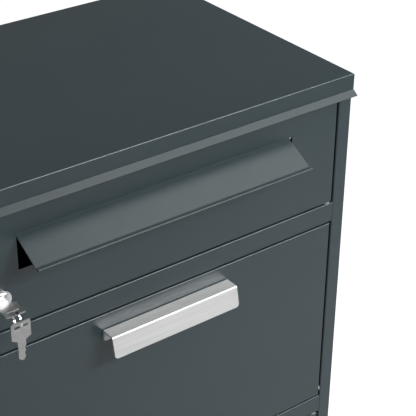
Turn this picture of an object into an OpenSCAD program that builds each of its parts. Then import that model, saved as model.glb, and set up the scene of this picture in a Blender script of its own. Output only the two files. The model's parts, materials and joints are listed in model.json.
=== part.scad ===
// Free-standing sheet-steel mailbox: a letter compartment behind a door with a slot and flap,
// a tilting parcel hopper with a bar handle below it, and a parcel store with its own door.
// Every sub-part is drawn with the front plane at y = 0 and the back at y = cab_d, and on_front()
// then moves the plan's centre to the origin. Z is up and z = 0 is the surface it stands on.

/* [Cabinet] */
// Overall width over the top cap
cab_w = 508; // [480:4:540]
// Overall depth over the top cap
cab_d = 345; // [325:5:400]
// Overall height from the floor to the roof
cab_h = 1000; // [960:10:1200]
// Sheet thickness of the casing and the doors
sheet_t = 1.5; // [1.3:0.1:1.6]
// Thickness of the lighter inner sheets, the rails behind the cap and the flap
light_t = 1.2; // [1:0.1:1.3]
// Outer radius of a fold in the casing and the doors
bend_r = 1.7; // [1.7:0.1:2.2]

/* [Front layout] */
// Height of the cap's skirt
skirt_h = 18.8; // [16:0.4:22]
// Distance that the drip edge under the skirt stands out
drip_out = 7; // [5:0.5:10]
// Height over which the drip edge slopes down
drip_fall = 4.8; // [3.6:0.2:5]
// Height of the letter door
letter_h = 125.5; // [118:0.5:140]
// Height of the hopper door
hopper_h = 247.8; // [230:0.2:260]
// Height of a cross rail
rail_h = 24.7; // [22:0.1:30]
// Distance from the cap's side to the door opening
stile_w = 20; // [18:0.5:24]
// Gap around a door
door_gap = 2; // [1.8:0.1:2.5]
// Depth of the door pans and of the returns on rails and stiles
pan_d = 15; // [14:0.5:15]

/* [Letter slot and flap] */
// Width of the slot
slot_w = 337; // [300:1:345]
// Height of the slot
slot_h = 39.8; // [36:0.2:41]
// Distance from the roof down to the slot's top edge
slot_drop = 51; // [48:0.5:54]
// Length of the flap from its hinge axis to its lower fold
flap_l = 40; // [37:0.5:40.5]
// Angle of the flap from hanging straight down, as it stands open
flap_angle = 61.4; // [55:0.1:65]
// Width of the lip along the flap's lower edge
lip_w = 6; // [4:0.5:6.5]

/* [Handle] */
// Length of the bar handle
handle_w = 161; // [121:5:201]
// Distance that the handle's top stands out from the door
handle_out = 18; // [16:0.5:26]
// Height of the handle's front leg
handle_h = 24; // [20:0.5:32]
// How much further the front leg's lower edge stands out than its upper one
handle_lean = 4.8; // [0:0.2:6]
// Distance from the roof down to the handle's top
handle_drop = 198.8; // [194:0.4:210]
// Distance of the handle's middle to the right of the door's middle
handle_off = 2.4; // [0:0.2:5]

/* [Locks and keys] */
// Distance from the middle of the cabinet to the lock axes, towards the left side
lock_off = 190; // [186:1:195]
// Distance from the roof down to the letter lock
lock_drop = 117; // [113:1:120]
// Width of a key's bow
bow_w = 21; // [20:0.5:24]
// Length of a key's bow
bow_l = 21.5; // [20:0.5:22.5]
// Thickness of a key
key_t = 1.6; // [1.4:0.1:1.7]

/* [Hopper] */
// Length of the tray behind the hopper door
tray_l = 195; // [170:5:205]
// Slope of the tray below the horizontal while the hopper is shut
tray_slope = 30; // [25:1:35]

/* [Fixing holes] */
// Spacing of the holes across the cabinet
hole_span_x = 360; // [300:10:380]
// Spacing of the floor holes from front to back
hole_span_y = 220; // [180:10:240]
// Spacing of the wall holes in height
hole_span_z = 600; // [560:10:640]
// Diameter of the floor holes
floor_hole_d = 11; // [9:0.5:13]
// Diameter of the wall holes
wall_hole_d = 9; // [7:0.5:11]

/* [Hidden] */

$fn = 48;
eps = 1;                                          // overshoot of a cutting tool
arc_step = 15;                                    // degrees between the points of a fold
fold_in = bend_r - sheet_t;                       // inner radius of a casing fold
light_in = 0.3;                                   // inner radius of a fold in light sheet

cap_gap = 0.3;                                    // gap between the cap's skirt and the body
half_w = cab_w / 2;
side_x = half_w - sheet_t - cap_gap;              // outer face of a side panel
wall_x = side_x - sheet_t;                        // inner face of a side panel
stile_x = half_w - stile_w;                       // edge of the door opening
door_x = stile_x - door_gap;                      // edge of a door
back_y = cab_d - sheet_t - cap_gap;               // outer face of the back panel
flange_y = back_y - sheet_t;                      // back face of the side panels' rear flanges
flange_w = 15;
inner_y0 = pan_d + 0.3;                           // front edge of what lies behind the returns
inner_y1 = flange_y - sheet_t - 0.2;              // rear edge of what lies before the flanges
top_drop = 8;                                     // from the skirt down to the letter door

letter_top = cab_h - skirt_h - top_drop;
letter_bot = letter_top - letter_h;
upper_rail_top = letter_bot - door_gap;
hopper_top = upper_rail_top - rail_h - door_gap;
hopper_bot = hopper_top - hopper_h;
lower_rail_top = hopper_bot - door_gap;
parcel_top = lower_rail_top - rail_h - door_gap;
parcel_bot = rail_h + door_gap;
notch_z = letter_top + 1;                         // where the stiles end below the drip edge
header_z = letter_top + 1.3;                      // underside of the header rail

pin_r = 2;
bush_bore_r = pin_r + 0.05;
bush_r = 2.8;
bush_hole_r = bush_r + 0.02;
bush_flange_r = 4.5;
bush_cut = 5;                                     // length of the tool that cuts a bush's hole
pin_head_r = 3.2;
pin_head_h = 1.5;
pin_reach = sheet_t + door_gap + 2.2;             // from inside the door's flange into the bush
pin_in = 5;                                       // from a door's edge and face to its hinge axis
swing_x = door_x - pin_in;                        // hinge axis of the two side-hung doors
tilt_z = hopper_bot + 8;                          // hinge axis of the hopper

shelf_z = cab_h - 160;                            // top of the letter shelf
shelf_d = 12;
baffle_y = 245;
baffle_low = tilt_z + 96;                         // clears the tray as the hopper tilts
baffle_flange = 20;
rivet_r = 3.5;
rivet_h = 1;
rivet_pitch = 100;
cheek_r = 190;
tray_w = 444;
tray_z = hopper_bot + 19;                         // fold between the tray and its flange
tray_dir = [cos(tray_slope), -sin(tray_slope)];
tray_flange = 40;                                 // height of the tray's flange on the hopper door
tray_lip = 10;                                    // turned up at the tray's far end

axis_y = sheet_t + 1.3;                           // flap axis, just behind the door's sheet
axis_z = cab_h - slot_drop - 2.5;
rod_r = 1.25;
flap_bore_r = rod_r + 0.08;
barrel_r = 2.3;
hem_r = 1.2;
flap_w = slot_w - 3.4;
flap_off = -1.4;                                  // the flap rests at the left end of its play
ear_x = slot_w / 2 + 1.5;
ear_t = 1.2;

bezel_r = 11;
bezel_t = 3;
barrel_lock_r = 9.5;
lock_nut_r = 14;                                  // over the corners of the nut
plug_r = 6.5;
plug_front = 3.5;                                 // how far the plug stands out of the door
body_l = 16.5;                                    // from the door's face to the end of the barrel
cam_y = 17;
cam_t = 2.5;
cam_l = 45;
cam_w = 16;
cam_square = 7;                                   // end of the plug that carries the cam
keyway_depth = 14;                                // end of the keyway, from the door's face
letter_lock_z = cab_h - lock_drop;
parcel_lock_z = (parcel_top + parcel_bot) / 2;

blade_w = 8.8;
blade_l = 22.3;
cuts = [1.5, 0.9, 1.8, 1.2];                      // depths of the cuts along one edge of the blade
cut_pitch = 3.2;
first_cut = 8;                                    // from the shoulder to the first cut
bow_y = -8.5;                                    // where the bow of the key in the lock begins
eye_w = 14;                                       // slot through a bow
eye_h = 3.2;
bridge = 3.8;                                     // metal between that slot and the bow's end
ring_r = 8;
coil_t = 1;
coil_w = 1.3;
ring_tilt = 40;                                   // how far the ring hangs below the bow's plane
eye_y = bow_y - bow_l + bridge + eye_h / 2;
ring_y = eye_y + 0.2 - ring_r * cos(ring_tilt);
ring_z = letter_lock_z - ring_r * sin(ring_tilt);
hang_z = ring_z - ring_r + coil_t / 2 + 0.6;      // top edge of the hanging key's slot
spare_x = 2.8 - lock_off;                         // the spare key hangs a little right of the ring

handle_top = cab_h - handle_drop;
handle_back = 13.8;                               // height of the flange on the door
handle_corner = 4;
handle_screw_x = handle_w / 2 - 18;               // from the handle's middle
handle_screw_z = handle_top - 7.5;
screw_r = 2;

// Stops: which side of the opening, and the height of each
stops = [
    [-1, letter_top - 14], [-1, letter_bot + 14], [-1, hopper_top - 20],
    [1, hopper_top - 20], [-1, parcel_top - 20], [-1, parcel_bot + 20]
];
stop_y = 17.8;
stop_h = 12;
stop_reach = 11;                                  // from the stile to the end of a tab
buffer_r = 3;
buffer_in = 5.1;                                  // from the stile to a buffer's axis

paint = [0.22, 0.25, 0.27];
steel = [0.72, 0.73, 0.74];
chrome = [0.86, 0.87, 0.88];
zinc = [0.62, 0.64, 0.66];
rubber = [0.08, 0.08, 0.08];
nylon = [0.85, 0.85, 0.82];

// ---- folded sheet ----

function unit(v) = v / norm(v);
function left_normal(d) = [-d[1], d[0]];
function turn_sign(d0, d1) = d0[0] * d1[1] - d0[1] * d1[0] > 0 ? 1 : -1;
function reversed(v) = [for (i = [len(v) - 1 : -1 : 0]) v[i]];

// Points round one fold at p, on the face that lies off from the drawn one
function fold_arc(p, d0, d1, side, off, t, r_in) =
    let (
        k = turn_sign(d0, d1),
        n0 = left_normal(d0),
        n1 = left_normal(d1),
        face_r = k * side > 0 ? r_in + t : r_in,
        r = face_r - k * side * off,
        centre = p + k * face_r * (n0 + n1) / (1 + n0 * n1),
        start = atan2(n0[1], n0[0]),
        sweep = k * acos(d0 * d1),
        steps = ceil(abs(sweep) / arc_step)
    )
    [for (i = [0 : steps]) let (a = start + sweep * i / steps) centre - k * r * [cos(a), sin(a)]];

function fold_face(path, side, off, t, r_in) =
    let (
        last = len(path) - 1,
        d = [for (i = [0 : last - 1]) unit(path[i + 1] - path[i])]
    )
    concat(
        [path[0] + side * off * left_normal(d[0])],
        [for (i = [1 : last - 1]) each fold_arc(path[i], d[i - 1], d[i], side, off, t, r_in)],
        [path[last] + side * off * left_normal(d[last - 1])]
    );

// Section of sheet t thick that follows path with one face, and lies on its left (side 1) or right (-1)
function folded(path, side, t, r_in) =
    concat(fold_face(path, side, 0, t, r_in), reversed(fold_face(path, side, t, t, r_in)));

// Rectangle from y = 0 to y = h with rounded corners at y = 0
function soft_box(w, h, r) = concat(
    [[-w / 2, h]],
    [for (a = [180 : arc_step : 270]) [-w / 2 + r + r * cos(a), r + r * sin(a)]],
    [for (a = [270 : arc_step : 360]) [w / 2 - r + r * cos(a), r + r * sin(a)]],
    [[w / 2, h]]
);

// ---- placing ----

module on_front() {
    translate([0, -cab_d / 2, 0]) children();
}

// A section drawn in (y, z), centred on x = 0
module along_x(w) {
    translate([-w / 2, 0, 0]) rotate([90, 0, 90]) linear_extrude(w) children();
}

// A section drawn in (x, y), from z = z0 to z1
module along_z(z0, z1) {
    translate([0, 0, z0]) linear_extrude(z1 - z0) children();
}

// A section drawn in (x, z), from y = y0 to y1
module along_y(y0, y1) {
    translate([0, y1, 0]) rotate([90, 0, 0]) linear_extrude(y1 - y0) children();
}

// A cylinder along +Y from y = y0 to y1
module rod_y(r, y0, y1, x = 0, z = 0) {
    translate([x, y0, z]) rotate([-90, 0, 0]) cylinder(r = r, h = y1 - y0);
}

// A cylinder along X, centred on x = 0
module rod_x(r, w, y, z) {
    translate([-w / 2, y, z]) rotate([0, 90, 0]) cylinder(r = r, h = w);
}

module both_sides() {
    children();
    mirror([1, 0, 0]) children();
}

// ---- shared shapes ----

// Block w wide and l long with its face at z = 0, rounded along the four edges of that face
module soft_block(w, l, d, r) {
    intersection() {
        translate([0, l / 2, 0]) rotate([90, 0, 0]) linear_extrude(l) polygon(soft_box(w, d, r));
        translate([-w / 2, 0, 0]) rotate([90, 0, 90]) linear_extrude(w) polygon(soft_box(l, d, r));
    }
}

// Folded pan with its face at z = 0 and its open side towards +Z
module pan(w, l, d, t, r) {
    difference() {
        soft_block(w, l, d, r);
        translate([0, 0, t]) soft_block(w - 2 * t, l - 2 * t, d, r - t);
    }
}

// Door pan with its face at y = 0, from z0 to z1
module door_pan(z0, z1) {
    translate([0, 0, (z0 + z1) / 2]) rotate([-90, 0, 0])
        pan(2 * door_x, z1 - z0, pan_d, sheet_t, bend_r);
}

// Channel between the stiles, its face flush with them, from z0 to z1
module rail(z0, z1) {
    path = [[pan_d, z1], [0, z1], [0, z0], [pan_d, z0]];
    along_x(2 * stile_x) polygon(folded(path, 1, sheet_t, fold_in));
}

// Flanged bush whose flange stands flange_t above z = 0
module bush(flange_t) {
    difference() {
        union() {
            cylinder(r = bush_flange_r, h = flange_t);
            translate([0, 0, -sheet_t - 0.7]) cylinder(r = bush_r, h = sheet_t + 0.7);
        }
        translate([0, 0, -sheet_t - eps]) cylinder(r = bush_bore_r, h = sheet_t + flange_t + 2 * eps);
    }
}

// Headed pin: head below z = 0, shaft up to z = l
module headed_pin(l) {
    translate([0, 0, -pin_head_h]) cylinder(r = pin_head_r, h = pin_head_h);
    cylinder(r = pin_r, h = l);
}

module swing_pins(z0, z1) {
    translate([swing_x, pin_in, z1 - sheet_t]) headed_pin(pin_reach);
    translate([swing_x, pin_in, z0 + sheet_t]) mirror([0, 0, 1]) headed_pin(pin_reach);
}

// Bores for the pins of a side-hung door
module swing_bores(z0, z1, r) {
    translate([swing_x, pin_in, z0 - eps]) cylinder(r = r, h = z1 - z0 + 2 * eps);
}

module lock_body() {
    difference() {
        union() {
            rod_y(bezel_r - 1, -bezel_t, 0);
            rod_y(bezel_r, -bezel_t + 1, 0);
            rod_y(barrel_lock_r, 0, body_l);
        }
        rod_y(plug_r + 0.05, -bezel_t - eps, body_l + eps);
    }
}

module lock_nut() {
    nut_h = 4;
    difference() {
        translate([0, sheet_t, 0]) rotate([-90, 0, 0]) cylinder(r = lock_nut_r, h = nut_h, $fn = 6);
        rod_y(barrel_lock_r + 0.05, 0, sheet_t + nut_h + eps);
    }
}

module lock_plug() {
    difference() {
        union() {
            rod_y(plug_r, -plug_front, cam_y);
            along_y(cam_y, cam_y + cam_t) square(cam_square, center = true);
        }
        along_y(-plug_front - eps, keyway_depth) square([blade_w + 0.8, key_t + 0.6], center = true);
        rod_y(screw_r, cam_y - 2.5, cam_y + cam_t + eps);
    }
}

module lock_cam() {
    along_y(cam_y, cam_y + cam_t) difference() {
        union() {
            circle(r = cam_w / 2);
            translate([-cam_w / 2, 0]) square([cam_w, cam_l - cam_w / 2]);
            translate([0, cam_l - cam_w / 2]) circle(r = cam_w / 2);
        }
        square(cam_square + 0.1, center = true);
    }
}

module cam_screw() {
    head_r = 4.5;
    head_h = 2.6;
    rod_y(head_r, cam_y + cam_t, cam_y + cam_t + head_h);
    rod_y(screw_r - 0.02, cam_y - 2, cam_y + cam_t);
}

// Flat key: bow from z = 0 up, blade down with its cuts on the right
module key_blank() {
    slant = 3;
    tip = 3;
    top_r = 2;
    half = blade_w / 2;
    corner = bow_w / 2 - top_r;
    bow = concat(
        [[half, 0], [bow_w / 2, slant]],
        [for (a = [0 : arc_step : 90]) [corner + top_r * cos(a), bow_l - top_r + top_r * sin(a)]],
        [for (a = [90 : arc_step : 180]) [top_r * cos(a) - corner, bow_l - top_r + top_r * sin(a)]],
        [[-bow_w / 2, slant], [-half, 0]]
    );
    blade = concat(
        [[-half, 0], [-half, tip - blade_l], [-half + tip, -blade_l], [half - tip, -blade_l]],
        [for (i = [len(cuts) - 1 : -1 : 0], end = [1, 0])
            [half - cuts[i], -first_cut - (i + end / 2) * cut_pitch]],
        [[half, cuts[0] - first_cut], [half, 0]]
    );
    along_y(-key_t / 2, key_t / 2) difference() {
        union() {
            polygon(bow);
            polygon(blade);
        }
        translate([0, bow_l - bridge - eye_h / 2]) square([eye_w, eye_h], center = true);
    }
}

// ---- casing ----

module side_shape() {
    rear = [[side_x - flange_w, flange_y], [side_x, flange_y]];
    stile = [[side_x, 0], [stile_x, 0], [stile_x, pan_d]];
    difference() {
        along_z(0, cab_h - sheet_t) polygon(folded(concat(rear, stile), -1, sheet_t, fold_in));
        translate([stile_x - eps, -eps, notch_z]) cube([wall_x - stile_x + eps, pan_d + 3, cab_h]);
        translate([stile_x - eps, -eps, notch_z]) cube([half_w, sheet_t + eps, cab_h]);
        translate([stile_x - eps, pin_in, tilt_z]) rotate([0, 90, 0])
            cylinder(r = bush_hole_r, h = sheet_t + 2 * eps);
    }
}

module side_panel_right() {
    color(paint) on_front() side_shape();
}

module side_panel_left() {
    color(paint) on_front() mirror([1, 0, 0]) side_shape();
}

// Roof pan whose front skirt ends in a drip edge, bent outwards
module top_cap() {
    edge = [[0, -skirt_h / 2], [0, -skirt_h], [-drip_out, -skirt_h - drip_fall]];
    color(paint) translate([0, 0, cab_h]) union() {
        rotate([180, 0, 0]) pan(cab_w, cab_d, skirt_h, sheet_t, bend_r);
        on_front() along_x(cab_w) polygon(folded(edge, 1, sheet_t, light_in));
    }
}

module header_rail() {
    path = [[sheet_t, cab_h - 4], [sheet_t, header_z], [sheet_t + pan_d, header_z]];
    color(paint) on_front() difference() {
        along_x(2 * wall_x) polygon(folded(path, 1, light_t, light_in));
        translate([swing_x, pin_in, header_z - eps]) cylinder(r = bush_hole_r, h = bush_cut);
    }
}

module back_panel() {
    middle = cab_h * 0.6;
    r = wall_hole_d / 2;
    color(paint) on_front() difference() {
        translate([-side_x, flange_y, 0]) cube([2 * side_x, sheet_t, cab_h - sheet_t]);
        for (x = [-hole_span_x / 2, hole_span_x / 2], z = [-hole_span_z / 2, hole_span_z / 2])
            rod_y(r, flange_y - eps, back_y + eps, x, middle + z);
    }
}

module floor_panel() {
    length = inner_y1 - inner_y0;
    color(paint) on_front() difference() {
        translate([0, (inner_y0 + inner_y1) / 2, 0]) pan(2 * wall_x, length, pan_d, sheet_t, bend_r);
        for (x = [-hole_span_x / 2, hole_span_x / 2], y = [-hole_span_y / 2, hole_span_y / 2])
            translate([x, cab_d / 2 + y, -eps]) cylinder(d = floor_hole_d, h = sheet_t + 2 * eps);
    }
}

module upper_rail() {
    color(paint) on_front() difference() {
        rail(upper_rail_top - rail_h, upper_rail_top);
        translate([swing_x, pin_in, upper_rail_top + eps - bush_cut])
            cylinder(r = bush_hole_r, h = bush_cut);
    }
}

module lower_rail() {
    color(paint) on_front() difference() {
        rail(lower_rail_top - rail_h, lower_rail_top);
        translate([swing_x, pin_in, lower_rail_top - rail_h - eps])
            cylinder(r = bush_hole_r, h = bush_cut);
    }
}

module bottom_rail() {
    color(paint) on_front() difference() {
        rail(0, rail_h);
        translate([swing_x, pin_in, rail_h + eps - bush_cut]) cylinder(r = bush_hole_r, h = bush_cut);
    }
}

module letter_shelf() {
    length = inner_y1 - inner_y0;
    color(paint) on_front() translate([0, (inner_y0 + inner_y1) / 2, shelf_z])
        rotate([180, 0, 0]) pan(2 * wall_x, length, shelf_d, light_t, light_t + light_in);
}

module anti_theft_baffle() {
    under = shelf_z - light_t;
    width = 2 * (wall_x - light_t - 2);
    path = [[baffle_y + baffle_flange, under], [baffle_y, under], [baffle_y, baffle_low]];
    color(zinc) on_front() along_x(width) polygon(folded(path, 1, light_t, light_in));
}

module baffle_rivets() {
    under = shelf_z - 2 * light_t;
    middle = baffle_y + baffle_flange / 2;
    color(zinc) on_front() for (i = [-2 : 2])
        translate([i * rivet_pitch, middle, under - rivet_h]) cylinder(r = rivet_r, h = rivet_h);
}

module hinge_bushes() {
    snug = door_gap - 0.3;
    color(nylon) on_front() {
        translate([swing_x, pin_in, header_z]) mirror([0, 0, 1]) bush(1);
        translate([swing_x, pin_in, upper_rail_top]) bush(snug);
        translate([swing_x, pin_in, lower_rail_top - rail_h]) mirror([0, 0, 1]) bush(snug);
        translate([swing_x, pin_in, rail_h]) bush(snug);
        both_sides() translate([stile_x, pin_in, tilt_z]) rotate([0, -90, 0]) bush(snug);
    }
}

module stop_tabs() {
    path = [[stile_x + sheet_t, 4], [stile_x + sheet_t, stop_y], [stile_x - stop_reach, stop_y]];
    color(paint) on_front() for (s = stops)
        mirror([s[0] < 0 ? 1 : 0, 0, 0])
            along_z(s[1] - stop_h / 2, s[1] + stop_h / 2) polygon(folded(path, -1, light_t, light_in));
}

module stop_buffers() {
    color(rubber) on_front() for (s = stops)
        rod_y(buffer_r, pan_d + 0.2, stop_y, s[0] * (stile_x - buffer_in), s[1]);
}

// ---- letter door ----

module letter_door() {
    color(paint) on_front() difference() {
        door_pan(letter_bot, letter_top);
        translate([-slot_w / 2, -eps, cab_h - slot_drop - slot_h])
            cube([slot_w, sheet_t + 2 * eps, slot_h]);
        rod_y(barrel_lock_r + 0.05, -eps, sheet_t + eps, -lock_off, letter_lock_z);
        swing_bores(letter_bot, letter_top, pin_r + 0.02);
    }
}

module letter_hinge_pins() {
    color(zinc) on_front() swing_pins(letter_bot, letter_top);
}

module flap_brackets() {
    size = 8;
    deep = 5;
    color(zinc) on_front() both_sides() difference() {
        union() {
            translate([ear_x, sheet_t, axis_z - size / 2]) cube([ear_t, deep, size]);
            translate([ear_x, sheet_t, axis_z - size / 2]) cube([size, ear_t, size]);
        }
        translate([ear_x - eps, axis_y, axis_z]) rotate([0, 90, 0])
            cylinder(r = rod_r + 0.02, h = size + 2 * eps);
    }
}

module flap_rod() {
    color(zinc) on_front() rod_x(rod_r, 2 * (ear_x + ear_t), axis_y, axis_z);
}

// Flap with a rolled hinge edge at the top and a lip that ends in a rolled hem
module slot_flap() {
    dir = [-sin(flap_angle), -cos(flap_angle)];
    outer = [-cos(flap_angle), sin(flap_angle)] * light_t / 2;
    axis = [axis_y, axis_z];
    fold = axis + outer + flap_l * dir;
    path = [axis + outer + (flap_bore_r + 0.4) * dir, fold, fold - [lip_w, 0]];
    color(paint) on_front() translate([flap_off, 0, 0]) difference() {
        union() {
            rod_x(barrel_r, flap_w, axis_y, axis_z);
            along_x(flap_w) polygon(folded(path, 1, light_t, light_in));
            rod_x(hem_r, flap_w, fold[0] - lip_w + hem_r, fold[1] - light_t / 2);
        }
        rod_x(flap_bore_r, flap_w + 2 * eps, axis_y, axis_z);
    }
}

// ---- locks and keys ----

module at_letter_lock() {
    on_front() translate([-lock_off, 0, letter_lock_z]) children();
}

module at_parcel_lock() {
    on_front() translate([-lock_off, 0, parcel_lock_z]) children();
}

module letter_lock_body() {
    color(chrome) at_letter_lock() lock_body();
}

module letter_lock_nut() {
    color(zinc) at_letter_lock() lock_nut();
}

module letter_lock_plug() {
    color(chrome) at_letter_lock() lock_plug();
}

module letter_lock_cam() {
    color(zinc) at_letter_lock() lock_cam();
}

module letter_cam_screw() {
    color(zinc) at_letter_lock() cam_screw();
}

module lock_key() {
    color(steel) at_letter_lock() translate([0, bow_y, 0]) rotate([90, 0, 0]) key_blank();
}

module key_ring() {
    color(chrome) on_front() translate([-lock_off, ring_y, ring_z]) rotate([0, 90, 0])
        rotate_extrude() translate([ring_r, 0]) square([coil_t, 2 * coil_w], center = true);
}

module spare_key() {
    color(steel) on_front() translate([spare_x, ring_y, hang_z + bridge - bow_l]) key_blank();
}

// ---- parcel hopper ----

module hopper_door() {
    color(paint) on_front() difference() {
        door_pan(hopper_bot, hopper_top);
        rod_x(pin_r + 0.02, cab_w, pin_in, tilt_z);
        translate([handle_off, 0, 0]) both_sides()
            rod_y(screw_r + 0.1, -eps, sheet_t + eps, handle_screw_x, handle_screw_z);
    }
}

module hopper_tray() {
    fold = [sheet_t, tray_z];
    end = fold + tray_l * tray_dir;
    path = [fold + [0, tray_flange], fold, end, end + tray_lip * left_normal(tray_dir)];
    color(zinc) on_front() along_x(tray_w) polygon(folded(path, 1, light_t, light_in));
}

// Quarter plate that closes the end of the hopper, with a flange on the door
module cheek_shape() {
    last = -28;
    steps = 12;
    flange = 12;
    flange_h = 110;
    flange_z = tray_z + 50;
    centre = [pin_in, tilt_z];
    base = sheet_t + 0.2;
    outline = concat(
        [[base, tray_z + light_t]],
        [for (i = [0 : steps])
            let (a = last + (90 - last) * i / steps)
            centre + cheek_r * [cos(a), sin(a)]],
        [[base, tilt_z + cheek_r]]
    );
    translate([tray_w / 2, 0, 0]) rotate([90, 0, 90]) linear_extrude(light_t) polygon(outline);
    translate([tray_w / 2 - flange, sheet_t, flange_z]) cube([flange + light_t, light_t, flange_h]);
}

module hopper_cheek_right() {
    color(zinc) on_front() cheek_shape();
}

module hopper_cheek_left() {
    color(zinc) on_front() mirror([1, 0, 0]) cheek_shape();
}

module tray_rivets() {
    head_y = sheet_t + light_t;
    color(zinc) on_front() for (i = [-2 : 2])
        rod_y(rivet_r, head_y, head_y + rivet_h, i * rivet_pitch, tray_z + tray_flange * 0.65);
}

module hopper_hinge_pins() {
    color(zinc) on_front() both_sides()
        translate([door_x - sheet_t, pin_in, tilt_z]) rotate([0, 90, 0]) headed_pin(pin_reach);
}

// Plate seen from the front, w wide from z0 to z1, with its two lower corners rounded
module lower_rounded(w, z0, z1) {
    translate([0, z0]) polygon(soft_box(w, z1 - z0, handle_corner));
}

module handle() {
    low = handle_top - handle_h;
    foot = handle_top - handle_back;
    lean = [-handle_out - handle_lean, low];
    path = [[0, foot], [0, handle_top], [-handle_out, handle_top], lean];
    color(steel) on_front() translate([handle_off, 0, 0]) difference() {
        intersection() {
            along_x(handle_w) polygon(folded(path, 1, sheet_t, fold_in));
            union() {
                along_y(lean[0] - eps, -2 * sheet_t) lower_rounded(handle_w, low, handle_top + eps);
                along_y(-2 * sheet_t, eps) lower_rounded(handle_w, foot, handle_top + eps);
            }
        }
        both_sides() rod_y(screw_r + 0.1, -sheet_t - eps, eps, handle_screw_x, handle_screw_z);
    }
}

module handle_screws() {
    head_r = 3.6;
    head_h = 2.4;
    nut_r = 3.9;
    nut_h = 3.2;
    color(zinc) on_front() translate([handle_off, 0, 0]) both_sides() {
        rod_y(head_r, -sheet_t - head_h, -sheet_t, handle_screw_x, handle_screw_z);
        rod_y(screw_r, -sheet_t, sheet_t, handle_screw_x, handle_screw_z);
        rod_y(nut_r, sheet_t, sheet_t + nut_h, handle_screw_x, handle_screw_z);
    }
}

// ---- parcel store door ----

module parcel_door() {
    color(paint) on_front() difference() {
        door_pan(parcel_bot, parcel_top);
        rod_y(barrel_lock_r + 0.05, -eps, sheet_t + eps, -lock_off, parcel_lock_z);
        swing_bores(parcel_bot, parcel_top, pin_r + 0.02);
    }
}

module parcel_door_stiffener() {
    foot = 36;
    web = 20;
    deep = 12.5;
    clear = 6;
    left = [[-foot, sheet_t], [-web, sheet_t], [-web, deep]];
    right = [[web, deep], [web, sheet_t], [foot, sheet_t]];
    color(paint) on_front() along_z(parcel_bot + clear, parcel_top - clear)
        polygon(folded(concat(left, right), 1, light_t, light_in));
}

module parcel_hinge_pins() {
    color(zinc) on_front() swing_pins(parcel_bot, parcel_top);
}

module parcel_lock_body() {
    color(chrome) at_parcel_lock() lock_body();
}

module parcel_lock_nut() {
    color(zinc) at_parcel_lock() lock_nut();
}

module parcel_lock_plug() {
    color(chrome) at_parcel_lock() lock_plug();
}

module parcel_lock_cam() {
    color(zinc) at_parcel_lock() lock_cam();
}

module parcel_cam_screw() {
    color(zinc) at_parcel_lock() cam_screw();
}

side_panel_left();
side_panel_right();
top_cap();
header_rail();
back_panel();
floor_panel();
upper_rail();
lower_rail();
bottom_rail();
letter_shelf();
anti_theft_baffle();
baffle_rivets();
hinge_bushes();
stop_tabs();
stop_buffers();
letter_door();
letter_hinge_pins();
flap_brackets();
flap_rod();
letter_lock_body();
letter_lock_nut();
slot_flap();
letter_lock_plug();
letter_lock_cam();
letter_cam_screw();
lock_key();
key_ring();
spare_key();
hopper_door();
hopper_tray();
hopper_cheek_left();
hopper_cheek_right();
tray_rivets();
hopper_hinge_pins();
handle();
handle_screws();
parcel_door();
parcel_door_stiffener();
parcel_hinge_pins();
parcel_lock_body();
parcel_lock_nut();
parcel_lock_plug();
parcel_lock_cam();
parcel_cam_screw();
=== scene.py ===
"""Looks of the letter and parcel mailbox.

Powder-coated sheet steel, a brushed stainless handle, a chrome lock and nickel keys.
"""

import json
import math

import bpy
from mathutils import Matrix, Vector


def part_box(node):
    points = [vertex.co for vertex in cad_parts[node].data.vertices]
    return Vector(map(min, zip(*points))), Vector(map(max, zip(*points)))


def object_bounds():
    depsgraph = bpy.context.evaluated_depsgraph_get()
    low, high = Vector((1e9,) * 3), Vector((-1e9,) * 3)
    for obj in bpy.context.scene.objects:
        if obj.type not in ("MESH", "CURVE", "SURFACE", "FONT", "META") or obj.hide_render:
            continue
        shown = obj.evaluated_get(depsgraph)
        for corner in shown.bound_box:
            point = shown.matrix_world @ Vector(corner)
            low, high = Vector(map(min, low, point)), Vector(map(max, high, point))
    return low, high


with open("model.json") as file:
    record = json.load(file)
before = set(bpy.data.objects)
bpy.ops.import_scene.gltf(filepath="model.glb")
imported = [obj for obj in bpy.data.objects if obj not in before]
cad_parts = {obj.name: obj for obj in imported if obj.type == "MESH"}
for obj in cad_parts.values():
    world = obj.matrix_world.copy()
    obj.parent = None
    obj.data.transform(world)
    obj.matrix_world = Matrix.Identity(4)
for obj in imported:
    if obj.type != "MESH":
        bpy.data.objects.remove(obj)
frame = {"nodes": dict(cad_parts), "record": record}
CAD_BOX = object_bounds()
NODES = frame["nodes"]
MM = 0.001

# ---- camera ----

CAP_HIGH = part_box("top_cap")[1]
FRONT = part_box("letter_door")[0].y
CORNER = Vector((CAP_HIGH.x, FRONT, CAP_HIGH.z))  # front, right, upper corner of the cabinet
CAMERA_FROM_CORNER = Vector((-0.90226, -0.91689, 0.57310))
CAMERA_AZIMUTH = math.radians(-37.5289)
CAMERA_ELEVATION = math.radians(30.2279)
CAMERA_ROLL = math.radians(0.6665)
CAMERA_LENS = 111.35  # mm
SENSOR = 36  # mm
CLIP_START = 0.01
UP = Vector((0, 0, 1))


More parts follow.
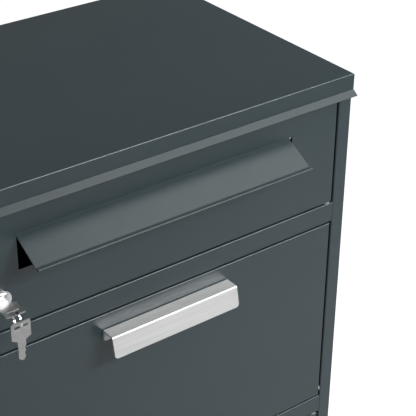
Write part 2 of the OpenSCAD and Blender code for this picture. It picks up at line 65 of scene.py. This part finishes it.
def add_camera():
    az, el = CAMERA_AZIMUTH, CAMERA_ELEVATION
    back = Vector((math.sin(az) * math.cos(el), -math.cos(az) * math.cos(el), math.sin(el)))
    right = (-back).cross(UP).normalized()
    up = right.cross(-back)
    rolled_right = right * math.cos(CAMERA_ROLL) + up * math.sin(CAMERA_ROLL)
    rolled_up = up * math.cos(CAMERA_ROLL) - right * math.sin(CAMERA_ROLL)
    data = bpy.data.cameras.new("camera")
    data.lens = CAMERA_LENS
    data.sensor_width = SENSOR
    data.clip_start = CLIP_START
    camera = bpy.data.objects.new("camera", data)
    turn = Matrix((rolled_right, rolled_up, back)).transposed().to_4x4()
    camera.matrix_world = Matrix.Translation(CORNER + CAMERA_FROM_CORNER) @ turn
    bpy.context.scene.collection.objects.link(camera)
    bpy.context.scene.camera = camera


# ---- nodes ----

def add_node(tree, kind, **values):
    """A new node with its inputs set; _ stands for a space in an input's name."""
    node = tree.nodes.new(kind)
    for name, value in values.items():
        node.inputs[name.replace("_", " ")].default_value = value
    return node


# ---- light and stage ----

WHITE = (1, 1, 1, 1)
FLOOR_HALF = 40
FLOOR_GAP = 0.3 * MM  # between the floor and the cabinet's lowest point
FLOOR_COLOR = (0.70, 0.71, 0.72, 1)
FLOOR_ROUGHNESS = 0.9
FLOOR_GLOW = 0.04
FLOOR_GLOW_SEEN = 0.8  # as the camera sees it: a pale floor that fades to white
ROOM_FRONT = 0.2  # strength of the room's light in front of the cabinet
ROOM_BACK = 0.27
ROOM_FADE = 0.5  # half the range of directions over which it changes
BACKGROUND_SEEN = 1.05

FACE_DROP = 0.2  # from the roof down to the height that the lights are aimed at
KEY_ASIDE = Vector((1.1, 0, 0))  # how far right of the cabinet's middle the key light falls
KEY_AWAY = Vector((0, -1.6, 1.3))
OVERHEAD_AWAY = 2.0 * Vector((0.53, -0.22, 0.82))
REAR_AWAY = 2.9 * Vector((-0.62, 0.78, -0.05))


def add_area(name, place, target, radiance, size, size_y=None):
    """An area light of the given radiance, which a reflection shows as bright at any size."""
    data = bpy.data.lights.new(name, "AREA")
    data.shape = "RECTANGLE"
    data.size = size
    data.size_y = size_y or size
    data.energy = radiance * math.pi * data.size * data.size_y
    light = bpy.data.objects.new(name, data)
    light.location = place
    light.rotation_euler = (target - place).to_track_quat("-Z", "Y").to_euler()
    light.visible_camera = False
    bpy.context.scene.collection.objects.link(light)


def add_lights():
    """A long strip in front on the upper right, a softbox overhead and a weak one behind left."""
    face = Vector((0, FRONT, CAP_HIGH.z - FACE_DROP))
    aside = face + KEY_ASIDE
    add_area("key", aside + KEY_AWAY, aside, radiance=20.0, size=1.4, size_y=0.45)
    add_area("overhead", face + OVERHEAD_AWAY, face, radiance=1.8, size=1.4)
    add_area("rear_fill", face + REAR_AWAY, face, radiance=3.0, size=1.6)


def add_world():
    """A grey room, a little lighter behind the cabinet, that the camera sees as white."""
    world = bpy.data.worlds.new("studio")
    bpy.context.scene.world = world
    world.use_nodes = True
    nt = world.node_tree
    nt.nodes.clear()
    direction = add_node(nt, "ShaderNodeTexCoord")
    axes = add_node(nt, "ShaderNodeSeparateXYZ")
    fade = add_node(nt, "ShaderNodeMapRange", From_Min=-ROOM_FADE, From_Max=ROOM_FADE,
                    To_Min=ROOM_FRONT, To_Max=ROOM_BACK)
    room = add_node(nt, "ShaderNodeBackground")
    seen = add_node(nt, "ShaderNodeBackground", Color=WHITE, Strength=BACKGROUND_SEEN)
    path = add_node(nt, "ShaderNodeLightPath")
    mix = add_node(nt, "ShaderNodeMixShader")
    out = add_node(nt, "ShaderNodeOutputWorld")
    nt.links.new(direction.outputs["Generated"], axes.inputs[0])
    nt.links.new(axes.outputs["Y"], fade.inputs["Value"])
    nt.links.new(fade.outputs[0], room.inputs["Strength"])
    nt.links.new(path.outputs["Is Camera Ray"], mix.inputs["Fac"])
    nt.links.new(room.outputs[0], mix.inputs[1])
    nt.links.new(seen.outputs[0], mix.inputs[2])
    nt.links.new(mix.outputs[0], out.inputs["Surface"])


def floor_material():
    mat = bpy.data.materials.new("pale_floor")
    mat.use_nodes = True
    nt = mat.node_tree
    shader = nt.nodes["Principled BSDF"]
    shader.inputs["Base Color"].default_value = FLOOR_COLOR
    shader.inputs["Roughness"].default_value = FLOOR_ROUGHNESS
    shader.inputs["Specular IOR Level"].default_value = 0
    shader.inputs["Emission Color"].default_value = WHITE
    path = add_node(nt, "ShaderNodeLightPath")
    glow = add_node(nt, "ShaderNodeMapRange", To_Min=FLOOR_GLOW, To_Max=FLOOR_GLOW_SEEN)
    nt.links.new(path.outputs["Is Camera Ray"], glow.inputs["Value"])
    nt.links.new(glow.outputs[0], shader.inputs["Emission Strength"])
    return mat


def add_floor():
    mesh = bpy.data.meshes.new("floor")
    r = FLOOR_HALF
    mesh.from_pydata([(-r, -r, 0), (r, -r, 0), (r, r, 0), (-r, r, 0)], [], [(0, 1, 2, 3)])
    mesh.materials.append(floor_material())
    floor = bpy.data.objects.new("floor", mesh)
    floor.location.z = CAD_BOX[0][2] - FLOOR_GAP
    bpy.context.scene.collection.objects.link(floor)


# ---- materials ----

NOISE_LOW, NOISE_HIGH = 0.25, 0.75  # nearly all of a noise lies between these
STEP = 0.04  # share of a node's height over which its coat turns matt
FLAP_ROLL = 0.88  # share of the flap's height where its hinge roll begins
ROLL_ROUGHNESS = 0.8
ALONG_X = (1, 0, 0)


class Graph:
    """A material's nodes, made and linked in one call each."""

    def __init__(self, name):
        self.mat = bpy.data.materials.new(name)
        self.mat.use_nodes = True
        self.tree = self.mat.node_tree
        self.shader = self.tree.nodes["Principled BSDF"]
        coords = add_node(self.tree, "ShaderNodeTexCoord")
        self.place = coords.outputs["Object"]
        self.share = coords.outputs["Generated"]

    def set(self, **sockets):
        """Uniform values on the shader; _ stands for a space in a socket's name."""
        for name, value in sockets.items():
            self.shader.inputs[name.replace("_", " ")].default_value = value

    def link(self, a, b):
        self.tree.links.new(a, b)

    def feed(self, socket, value):
        """Link a node's value to one of the shader's sockets."""
        self.link(value, self.shader.inputs[socket])

    def stretched(self, scale):
        node = add_node(self.tree, "ShaderNodeMapping", Scale=scale)
        self.link(self.place, node.inputs["Vector"])
        return node.outputs[0]

    def noise(self, scale, detail=2, rough=0.5, vector=None):
        node = add_node(self.tree, "ShaderNodeTexNoise", Scale=scale, Detail=detail,
                        Roughness=rough)
        self.link(vector or self.place, node.inputs["Vector"])
        return node.outputs["Fac"]

    def remap(self, value, low, high):
        """A noise's middle range spread from low to high."""
        node = add_node(self.tree, "ShaderNodeMapRange", From_Min=NOISE_LOW, From_Max=NOISE_HIGH,
                        To_Min=low, To_Max=high)
        self.link(value, node.inputs["Value"])
        return node.outputs[0]

    def blend_color(self, value, a, b):
        node = add_node(self.tree, "ShaderNodeMix")
        node.data_type = "RGBA"
        node.inputs["A"].default_value = (*a, 1)
        node.inputs["B"].default_value = (*b, 1)
        self.link(self.remap(value, 0, 1), node.inputs["Factor"])
        return node.outputs["Result"]

    def rougher_above(self, share, below, rough):
        """The value below up to a share of the node's height, and the value rough above it."""
        axes = add_node(self.tree, "ShaderNodeSeparateXYZ")
        step = add_node(self.tree, "ShaderNodeMapRange", From_Min=share, From_Max=share + STEP,
                        To_Max=rough)
        self.link(self.share, axes.inputs[0])
        self.link(axes.outputs["Z"], step.inputs["Value"])
        self.link(below, step.inputs["To Min"])
        return step.outputs[0]

    def relief(self, height, depth, strength):
        """A bump up to depth high on the shader's normal."""
        node = add_node(self.tree, "ShaderNodeBump", Strength=strength, Distance=depth)
        self.link(height, node.inputs["Height"])
        self.feed("Normal", node.outputs[0])


def powder_coat(name="powder_coat", matt_top=None):
    """Semi-matt anthracite powder coat: a fine orange-peel skin, a little uneven in gloss.

    matt_top: share of the node's height above which the coat is matt, as on the flap's roll.
    """
    dark, light = (0.024, 0.046, 0.054), (0.029, 0.053, 0.062)
    g = Graph(name)
    g.feed("Base Color", g.blend_color(g.noise(6), dark, light))
    gloss = g.remap(g.noise(60, 3, 0.6), 0.28, 0.34)
    if matt_top:
        gloss = g.rougher_above(matt_top, gloss, ROLL_ROUGHNESS)
    g.feed("Roughness", gloss)
    g.relief(g.noise(900), depth=0.03 * MM, strength=0.35)
    g.set(Specular_IOR_Level=0.75)
    return g.mat


def stainless():
    """Stainless steel brushed along X."""
    dark, light = (0.62, 0.62, 0.615), (0.80, 0.80, 0.795)
    g = Graph("stainless")
    lines = g.noise(1, 3, 0.6, g.stretched((6, 1800, 1800)))
    g.feed("Base Color", g.blend_color(lines, dark, light))
    g.feed("Roughness", g.remap(lines, 0.32, 0.41))
    g.relief(lines, depth=0.03 * MM, strength=0.7)
    along = add_node(g.tree, "ShaderNodeVectorTransform", Vector=ALONG_X)
    along.vector_type = "VECTOR"
    along.convert_from = "OBJECT"
    along.convert_to = "WORLD"
    g.feed("Tangent", along.outputs[0])
    g.set(Metallic=1.0, Anisotropic=0.85, Anisotropic_Rotation=0.25)
    return g.mat


def zinc_plate():
    """Galvanised sheet: large soft spangles with a fine grain."""
    dark, light = (0.42, 0.44, 0.46), (0.56, 0.58, 0.60)
    g = Graph("zinc_plate")
    cells = add_node(g.tree, "ShaderNodeTexVoronoi", Scale=55)
    grey = add_node(g.tree, "ShaderNodeRGBToBW")
    g.link(g.place, cells.inputs["Vector"])
    g.link(cells.outputs["Color"], grey.inputs[0])
    spangle = grey.outputs[0]
    g.feed("Base Color", g.blend_color(spangle, dark, light))
    g.feed("Roughness", g.remap(spangle, 0.32, 0.5))
    g.relief(g.noise(700), depth=0.02 * MM, strength=0.5)
    g.set(Metallic=1.0)
    return g.mat


def chrome_plate():
    """Chrome with faint polishing marks."""
    g = Graph("chrome_plate")
    g.feed("Roughness", g.remap(g.noise(300, 3), 0.05, 0.14))
    g.relief(g.noise(180, 3), depth=0.01 * MM, strength=0.4)
    g.set(Base_Color=(0.82, 0.82, 0.83, 1), Metallic=1.0)
    return g.mat


def nickel_key():
    """Nickel-plated key: fine scratches and a satin face."""
    dark, light = (0.52, 0.52, 0.51), (0.66, 0.66, 0.65)
    g = Graph("nickel_key")
    scratches = g.noise(1, 4, 0.7, g.stretched((260, 1500, 1500)))
    g.feed("Base Color", g.blend_color(g.noise(140, 3), dark, light))
    g.feed("Roughness", g.remap(scratches, 0.46, 0.60))
    g.relief(scratches, depth=0.02 * MM, strength=0.5)
    g.set(Metallic=1.0)
    return g.mat


def rubber_stop():
    """Black rubber with a dull grain."""
    dark, light = (0.015, 0.015, 0.016), (0.03, 0.03, 0.03)
    g = Graph("rubber_stop")
    g.feed("Base Color", g.blend_color(g.noise(200, 3), dark, light))
    g.relief(g.noise(900), depth=0.04 * MM, strength=0.6)
    g.set(Roughness=0.75)
    return g.mat


def nylon_bush():
    """Undyed nylon."""
    dark, light = (0.42, 0.42, 0.39), (0.50, 0.50, 0.47)
    g = Graph("nylon_bush")
    g.feed("Base Color", g.blend_color(g.noise(120), dark, light))
    g.relief(g.noise(600), depth=0.02 * MM, strength=0.5)
    g.set(Roughness=0.45)
    return g.mat


def make_materials():
    """One material for each slot, and one for a node that differs from its slot."""
    return {
        "powder_coat": powder_coat(),
        "slot_flap": powder_coat("flap_coat", FLAP_ROLL),
        "zinc_plate": zinc_plate(),
        "stainless": stainless(),
        "nickel_key": nickel_key(),
        "chrome_plate": chrome_plate(),
        "rubber_stop": rubber_stop(),
        "nylon_bush": nylon_bush(),
    }


# ---- CAD nodes ----

# Width in mm of the rounding on the edges of each material
EDGE_WIDTH = {
    "powder_coat": 0.28,
    "stainless": 0.2,
    "nickel_key": 0.22,
    "zinc_plate": 0.12,
    "chrome_plate": 0.3,
}
EDGE_ANGLE = math.radians(50)  # edges sharper than this are rounded
SMOOTH_ANGLE = math.radians(38)
FLAT_ANGLE = math.radians(0.5)  # faces that meet at less than this become one
WELD_DISTANCE = 0.002 * MM


def smooth_group():
    """Node group that smooths faces that meet at less than SMOOTH_ANGLE."""
    tree = bpy.data.node_groups.new("smooth_folds", "GeometryNodeTree")
    for way in ("INPUT", "OUTPUT"):
        tree.interface.new_socket("Geometry", in_out=way, socket_type="NodeSocketGeometry")
    start = add_node(tree, "NodeGroupInput")
    end = add_node(tree, "NodeGroupOutput")
    faces = add_node(tree, "GeometryNodeSetShadeSmooth")
    faces.domain = "FACE"
    edges = add_node(tree, "GeometryNodeSetShadeSmooth")
    edges.domain = "EDGE"
    angle = add_node(tree, "GeometryNodeInputMeshEdgeAngle")
    compare = add_node(tree, "FunctionNodeCompare")
    compare.operation = "LESS_THAN"
    compare.inputs[1].default_value = SMOOTH_ANGLE
    tree.links.new(angle.outputs["Unsigned Angle"], compare.inputs[0])
    tree.links.new(start.outputs[0], faces.inputs["Geometry"])
    tree.links.new(faces.outputs[0], edges.inputs["Geometry"])
    tree.links.new(compare.outputs[0], edges.inputs["Shade Smooth"])
    tree.links.new(edges.outputs[0], end.inputs[0])
    return tree


def add_modifiers(obj, slot, smooth):
    """Merge the flat faces, round the edges and smooth the folds."""
    weld = obj.modifiers.new("weld", "WELD")
    weld.merge_threshold = WELD_DISTANCE
    flat = obj.modifiers.new("flat", "DECIMATE")
    flat.decimate_type = "DISSOLVE"
    flat.angle_limit = FLAT_ANGLE
    if slot in EDGE_WIDTH:
        bevel = obj.modifiers.new("edge", "BEVEL")
        bevel.width = EDGE_WIDTH[slot] * MM
        bevel.segments = 2
        bevel.limit_method = "ANGLE"
        bevel.angle_limit = EDGE_ANGLE
    folds = obj.modifiers.new("smooth", "NODES")
    folds.node_group = smooth
    normal = obj.modifiers.new("normal", "WEIGHTED_NORMAL")
    normal.keep_sharp = True


def finish_nodes(materials):
    slots = {s["node"]: s["material_slot"] for s in frame["record"]["subparts"]}
    smooth = smooth_group()
    for name, obj in NODES.items():
        slot = slots[name]
        obj.data.materials.clear()
        obj.data.materials.append(materials.get(name, materials[slot]))
        if "custom_normal" in obj.data.attributes:
            obj.data.attributes.remove(obj.data.attributes["custom_normal"])
        add_modifiers(obj, slot, smooth)


add_camera()
add_world()
add_floor()
add_lights()
finish_nodes(make_materials())
bpy.context.scene.view_settings.view_transform = "Standard"
